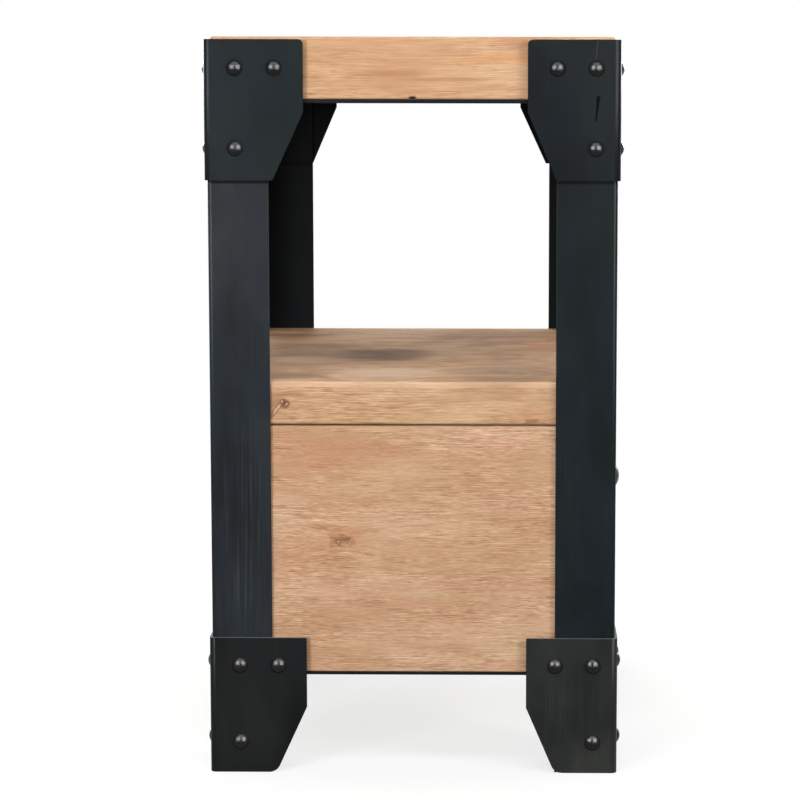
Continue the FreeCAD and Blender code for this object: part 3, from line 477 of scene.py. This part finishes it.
def steel(name, tone, streaks=1.0, roughness=0.32, specular=0.036, worn=(), lines=(),
          shadow_line_at=None, cool=1.15, rim_highlight=None, relief=0.04 * MM):
    """Satin black paint over sheet steel, with faint vertical brushing.

    streaks: the strength of the brushing. worn: places with more of it (centre, half sizes,
    strength). lines: upright scratches (centre, half width, half height, colour, strength).
    shadow_line_at: the level of a painted black shadow line, with painted shade deepening over
    the
    70 mm below it. cool: how much bluer the cold patches are. rim: the colour of a painted
    highlight on the sheet's upper cut edges. relief: the height of the paint's unevenness.
    Faces towards the table's inside get painted shade, and are duller.
    """
    t = material_tree(name)
    place = t.place()
    x, y, z = t.split(place)
    mottle = t.cells(place, 13.0, 13.0, 7.0, 3.0, 0.6)
    tint = t.cells(place, 34.0, 34.0, 16.0)
    brushed = t.cells(place, 520.0, 520.0, 12.0, 3.0, 0.6)
    rubbed = t.cells(place, 50.0, 50.0, 6.0, 1.0)
    peel = t.cells(place, 750.0, 750.0, 750.0)

    r, g, b = tone
    half_tone = srgb(r * 0.5, g * 0.5, b * 0.5)
    colour = t.mix(t.step(mottle, 0.34, 0.66), srgb(r * 0.74, g * 0.77, b * 0.78),
                   srgb(r * 1.22, g * 1.2, b * 1.19))
    colour = t.mix(t.step(tint, 0.38, 0.62, 0.0, 0.6), colour, srgb(r * 0.95, g, b * cool))
    amount = t.times(t.step(rubbed, 0.42, 0.66), streaks)
    for centre, half, strength in worn:
        away = t.length(t.vector("DIVIDE", t.vector("SUBTRACT", place, centre), half))
        amount = t.greater(amount, t.fade(away, 0.3, 1.0, strength))
    line = t.times(t.step(brushed, 0.5, 0.72), amount)
    grime = t.times(t.step(brushed, 0.5, 0.3), amount)
    colour = t.mix(t.times(line, 0.5), colour, srgb(r + 30, g + 30, b + 29))
    colour = t.mix(t.times(grime, 0.5), colour, half_tone)
    colour, dent = scratched(t, colour, place, lines)
    # painted shade: darker over the 70 mm below shadow_line_at, with a painted black shadow
    # line at shadow_line_at
    if shadow_line_at:
        colour = t.mix(t.step(z, shadow_line_at - 70 * MM, shadow_line_at, 0.0, 0.32), colour, half_tone)
        beside = t.size(t.minus(z, shadow_line_at))
        colour = t.mix(t.fade(beside, 1.8 * MM, 2.8 * MM), colour, srgb(*BLACK))

    nx, ny, upward = t.facing()
    outward = t.add(t.times(nx, t.math("SIGN", x)), t.times(ny, t.math("SIGN", y)))
    # faces towards the table's inside get painted shade and a duller finish
    inside_shade = t.fade(outward, -0.8, -0.3)
    colour = t.mix(t.times(inside_shade, 0.8), colour, srgb(*INSIDE_SHADE))
    # a painted highlight on the upward faces, the sheet's upper cut edges
    if rim_highlight:
        colour = t.mix(t.step(upward, 0.2, 0.6, 0.0, 0.9), colour, srgb(*rim_highlight))
    uneven = t.add(roughness, t.times(t.centred(mottle), 0.14), t.times(line, 0.06),
                   t.times(inside_shade, 0.5), t.times(dent, 0.6))
    height = t.add(t.times(peel, 0.6), t.times(brushed, 0.4))
    return t.principled(Base_Color=colour, Roughness=uneven, Specular_IOR_Level=specular,
                        Normal=t.bump(height, 0.5, relief))


def zinc(name):
    """Bright plated screws."""
    t = material_tree(name)
    spangle = t.cells(t.place(), 700.0, 700.0, 700.0, 3.0)
    colour = t.mix(spangle, srgb(150, 150, 142), srgb(205, 205, 198))
    return t.principled(Base_Color=colour, Metallic=1.0,
                        Roughness=t.add(0.24, t.times(spangle, 0.2)),
                        Normal=t.bump(spangle, 0.1, 0.1 * MM))


# ---------------------------------------------------------------- dressing the nodes

WARM = ((227, 184, 145), (215, 169, 130), (200, 147, 107))
SHELF = ((209, 170, 136), (198, 158, 121), (181, 138, 101))
SIDE = ((211, 173, 140), (201, 160, 126), (190, 144, 108))
INNER = ((222, 192, 150), (208, 174, 132), (190, 154, 114))
PURPLE, UMBER, BLUSH, CREAM = (104, 77, 62), (112, 84, 54), (208, 140, 102), (214, 186, 160)


def dress(material, *names):
    """Give CAD nodes a material; a name may be the start of several."""
    for name in names:
        found = [n for n in nodes if n == name or n.startswith(name + "_")]
        for node in found:
            slots = nodes[node].data.materials
            slots.clear()
            slots.append(material)


def side_point(node, y, z):
    """A point on the outer face of a left-hand piece, from millimetres."""
    return Vector((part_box(node)[0].x, y * MM, z * MM))


def side_mark(node, y, z, half_y, half_z, strength, shade, depth=0.02):
    """A stain, or a patch of painted shade, on a left-hand board's outer face."""
    return (side_point(node, y, z), (half_y, depth, half_z), strength, shade)


# Glued from planks 79 mm wide; no joint runs along the boards' outer faces.
STAVES = ("X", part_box("tabletop")[0].x - 0.034, 0.079)
shelf_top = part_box("shelf_board")[1].z
shelf_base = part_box("shelf_board")[0].z

tabletop_marks = [
    # a near-black patch of painted shade in the notch at the tabletop's lower edge
    side_mark("tabletop", 3, 505.5, 0.003, 0.0013, 1.0, (40, 20, 8), depth=0.01),
    side_mark("tabletop", 22, 523, 0.030, 0.0022, 0.6, (178, 132, 92)),
    side_mark("tabletop", -24, 519, 0.034, 0.0016, 0.55, (176, 130, 92)),
    side_mark("tabletop", -64, 534, 0.040, 0.0030, 0.5, (226, 158, 100)),
    side_mark("tabletop", 60, 540, 0.026, 0.0020, 0.4, (190, 140, 98)),
    side_mark("tabletop", -60, 512, 0.030, 0.0018, 0.4, (190, 138, 96)),
]
shelf_edge_marks = [
    side_mark("shelf_board", 105, 280, 0.009, 0.0065, 0.55, (150, 104, 76)),
    side_mark("shelf_board", 92, 286, 0.010, 0.0015, 0.5, (160, 106, 70)),
    side_mark("shelf_board", 98, 279, 0.0035, 0.0035, 0.9, (122, 66, 46)),
]
side_marks = [
    side_mark("side_panel_left", 57, 180, 0.016, 0.006, 0.4, BLUSH),
    side_mark("side_panel_left", 60, 240, 0.060, 0.016, 0.35, (196, 136, 98)),
    side_mark("side_panel_left", 20, 244, 0.034, 0.006, 0.4, (178, 124, 92)),
]
# on the shelf's upper face: place, half sizes along the grain and across it, strength, colour
shelf_marks = [(Vector((x, y, shelf_top)), (half_along, half_across, 0.02), strength, shade)
               for x, y, half_along, half_across, strength, shade in (
    (-0.012, 0.034, 0.036, 0.046, 0.8, PURPLE),
    (0.030, 0.085, 0.050, 0.045, 0.35, PURPLE),
    (0.128, 0.129, 0.042, 0.015, 0.75, UMBER),
    (-0.140, -0.066, 0.034, 0.066, 0.5, PURPLE),
    (0.020, 0.135, 0.030, 0.090, 0.4, UMBER),
    (0.110, -0.050, 0.060, 0.032, 0.35, PURPLE),
    (-0.100, 0.130, 0.030, 0.050, 0.35, UMBER),
    (-0.146, 0.021, 0.036, 0.034, 0.6, CREAM),
    (-0.050, 0.100, 0.022, 0.030, 0.45, CREAM),
    (-0.160, 0.098, 0.028, 0.022, 0.5, UMBER),
    (0.190, 0.014, 0.040, 0.036, 0.5, CREAM),
    (0.060, -0.105, 0.030, 0.060, 0.35, BLUSH))]

dress(wood("tabletop_wood", "Y", WARM, 1.0, staves=STAVES, marks=tabletop_marks,
           fine=(85.0, 1700.0, 0.85), seam_shade_at=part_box("tabletop")[0].z), "tabletop")
dress(wood("shelf_wood", "Y", SHELF, 2.0, staves=STAVES, marks=shelf_marks + shelf_edge_marks,
           knots=[(side_point("shelf_board", -85, 266), 0.0035, 0.8)],
           cracks=[(side_point("shelf_board", 104, 275.5), -55, 0.0085, 0.0017),
                   (side_point("shelf_board", 97, 279), -80, 0.0022, 0.0013),
                   (side_point("shelf_board", 100.5, 281), -60, 0.0020, 0.0012)],
           grey=0.14, fine=(120.0, 2000.0, 1.5), seam_shade_at=shelf_base, arris_highlight_at=shelf_top,
           calm=0.8), "shelf_board")
dress(wood("side_wood", "Y", SIDE, 3.0, seam_shade_at=shelf_base, marks=side_marks,
           knots=[(side_point("side_panel_left", 57, 176), 0.0062, 1.0)],
           cracks=[(side_point("side_panel_left", 59, 175.5), 0, 0.0022, 0.0008),
                   (side_point("side_panel_left", 51, 174.8), -20, 0.0018, 0.0008)]),
      "side_panel_left")
dress(wood("side_wood_right", "Y", SIDE, 13.0, seam_shade_at=shelf_base,
           knots=[(Vector((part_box("side_panel_right")[1].x, -0.04, 0.14)), 0.007, 0.8)]),
      "side_panel_right")
dress(wood("back_wood", "X", SIDE, 4.0, seam_shade_at=shelf_base), "back_panel")
dress(wood("front_wood", "X", WARM, 5.0), "drawer_front")
dress(wood("rail_wood", "X", SHELF, 6.0), "front_rail")
dress(wood("drawer_wood", "Y", INNER, 7.0, dashes=0.6), "drawer_side")
dress(wood("drawer_back_wood", "X", INNER, 8.0, dashes=0.6), "drawer_back")
dress(wood("base_wood", "X", INNER, 9.0, dashes=0.7), "bottom_board")
dress(wood("runner_wood", "Y", INNER, 10.0, dashes=0.5),
      "drawer_guide", "drawer_runner", "drawer_kicker")
dress(wood("block_wood", "Z", INNER, 11.0, dashes=0.5), "pull_stop", "rear_stops")
dress(wood("dowel_wood", "X", INNER, 12.0, dashes=0.3), "cabinet_dowels", "drawer_dowels")
dress(plywood("plywood", 3.0), "drawer_bottom")

plate_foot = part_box("top_plate_front_left")[0].z
dress(steel("post_steel", (28, 35, 36), 0.3, shadow_line_at=plate_foot), "post")
dress(steel("post_steel_rubbed", (39, 43, 45), 0.2,
            worn=[(side_point("post_rear_left", 130, 170), (0.05, 0.026, 0.14), 0.9)],
            shadow_line_at=plate_foot),
      "post_rear_left")
plate_lines = [
    (side_point("top_plate_front_left", -132.3, 498), 0.0021, 0.0115, BLACK, 1.0),
    (side_point("top_plate_front_left", -131.0, 533), 0.0005, 0.016, (66, 70, 74), 0.4),
]
dress(steel("top_plate_steel", (20, 26, 27), 0.15, lines=plate_lines, cool=1.25, rim_highlight=RIM_HIGHLIGHT),
      "top_plate")
dress(steel("foot_plate_steel", (26, 28, 28), 0.3, cool=1.05, rim_highlight=RIM_HIGHLIGHT),
      "foot_plate_rear", "foot_plate_front_right")
# a lighter copy of the foot plates' paint: painted light on this plate, with patches of brushed
# wear
dress(steel("foot_plate_lit_and_rubbed", (48, 50, 48), 0.3, cool=1.0, rim_highlight=RIM_HIGHLIGHT,
            worn=[(side_point("foot_plate_front_left", -113, 57), (0.02, 0.007, 0.005), 0.9),
                  (side_point("foot_plate_front_left", -99, 60), (0.02, 0.004, 0.04), 0.8)]),
      "foot_plate_front_left")
dress(steel("rail_steel", (19, 23, 26), 0.3),
      "top_rail_left", "top_rail_right", "top_rail_front", "top_rail_rear",
      "cabinet_rail_left", "cabinet_rail_right", "cabinet_rail_front", "cabinet_rail_rear")
dress(steel("head_paint", (2, 2, 3), 0.0, 0.24, 0.18, relief=0.5 * MM),
      "top_fasteners", "foot_fasteners")
dress(steel("screw_paint", (18, 19, 21), 0.1, 0.35, 0.2),
      "top_rail_screws", "cabinet_rail_screws")
dress(steel("knob_paint", (14, 15, 16), 0.1, 0.3, 0.2), "knob")
dress(zinc("zinc_plate"), "guide_screws", "runner_screws", "kicker_screws",
      "pull_stop_screw", "drawer_screws", "drawer_bottom_screws", "knob_screw")


def fine_edges(width, *starts):
    """Round the sharp edges of sheet metal a little, so that they catch the light."""
    for name in nodes:
        if not name.startswith(starts):
            continue
        weld = nodes[name].modifiers.new("weld", "WELD")
        weld.merge_threshold = 0.01 * MM
        bevel = nodes[name].modifiers.new("edge", "BEVEL")
        bevel.width = width
        bevel.segments = 2
        bevel.limit_method = "ANGLE"
        bevel.angle_limit = math.radians(40)
        bevel.harden_normals = True


fine_edges(0.25 * MM, "top_plate", "foot_plate", "post")


# ---------------------------------------------------------------- floor, lights and world

MIDDLE = (0, 0, 0.28)  # where the lamps point
WORLD_LIGHT = 0.22
WORLD_TINT = (0.97, 0.985, 1, 1)
FLOOR_GREY = (0.3, 0.3, 0.3, 1)
FLOOR_LIFT = 0.74  # how bright the floor near the table looks where no shadow falls

# name, place, width, height, power
SOFT_LAMPS = (
    ("key_left", (-1.93, 1.25, 0.72), 0.56, 0.56, 22),
    ("key_right", (-1.35, -1.86, 1.0), 0.56, 0.56, 22),
    ("key_top", (-1.5, 0, 2.4), 1.5, 0.6, 22),
    ("fill_rear", (2.2, 0.5, 1.1), 1.2, 1.0, 34),
    ("fill_front", (0.7, -2.3, 0.9), 1.2, 1.0, 16),
    ("fill_back", (0.7, 2.3, 0.9), 1.2, 1.0, 16),
    ("fill_above", (0.5, 0, 2.4), 1.2, 1.2, 8),
)
# these only show as gloss, such as on the domed heads
GLOSS_LAMPS = (
    ("gloss_0", (-1.93, 1.25, 1.0), 1.5, 1.5, 190),
    ("gloss_1", (-1.93, -1.25, 1.0), 1.7, 1.7, 244),
    ("gloss_2", (1.93, 1.25, 1.0), 0.9, 0.9, 54),
    ("gloss_3", (1.93, -1.25, 1.0), 0.9, 0.9, 54),
    ("gloss_top", (-1.6, 0, 2.6), 3.2, 1.4, 100),
)


def make_floor():
    """A wide white floor that keeps soft shadows near the table."""
    mesh = bpy.data.meshes.new("floor")
    corners = 96
    reach = 30.0
    turns = [2 * math.pi * corner / corners for corner in range(corners)]
    points = [(reach * math.cos(turn), reach * math.sin(turn), -0.2 * MM) for turn in turns]
    mesh.from_pydata(points, [], [list(range(corners))])
    floor = bpy.data.objects.new("floor", mesh)
    bpy.context.scene.collection.objects.link(floor)
    t = material_tree("floor_white")
    x, y, _ = t.split(t.place())
    far = t.step(t.math("SQRT", t.add(t.square(x), t.square(y))), 0.55, 1.6)
    seen = t.seen()
    matt = t.node("ShaderNodeBsdfDiffuse", {"Color": FLOOR_GREY})
    lift = t.node("ShaderNodeEmission", {"Color": WHITE, "Strength": t.times(seen, FLOOR_LIFT)})
    near = t.node("ShaderNodeAddShader")
    t.feed(near.inputs[0], matt.outputs[0])
    t.feed(near.inputs[1], lift.outputs[0])
    white = t.node("ShaderNodeEmission", {"Color": WHITE, "Strength": 1.0})
    t.surface(t.shader_mix(t.times(seen, far), near, white))
    mesh.materials.append(t.owner)


def make_world():
    """Even pale light all round, seen as plain white."""
    world = bpy.data.worlds.new("studio")
    bpy.context.scene.world = world
    t = Tree(world, "ShaderNodeOutputWorld")
    lit = t.node("ShaderNodeBackground", {"Color": WORLD_TINT, "Strength": WORLD_LIGHT})
    plain = t.node("ShaderNodeBackground", {"Color": WHITE, "Strength": 1.0})
    t.surface(t.shader_mix(t.seen(), lit, plain))


def softbox(name, place, width, height, power, mirrored):
    """A rectangular lamp that faces the table. mirrored: it only shows as gloss."""
    data = bpy.data.lights.new(name, "AREA")
    data.shape = "RECTANGLE"
    data.size = width
    data.size_y = height
    data.energy = power
    lamp = bpy.data.objects.new(name, data)
    lamp.location = place
    lamp.rotation_euler = (Vector(MIDDLE) - Vector(place)).to_track_quat("-Z", "Y").to_euler()
    lamp.visible_camera = False
    lamp.visible_glossy = mirrored
    lamp.visible_diffuse = not mirrored
    bpy.context.scene.collection.objects.link(lamp)


make_floor()
make_world()
for lamp_row in SOFT_LAMPS:
    softbox(*lamp_row, mirrored=False)
for lamp_row in GLOSS_LAMPS:
    softbox(*lamp_row, mirrored=True)

bpy.context.scene.view_settings.view_transform = "Standard"
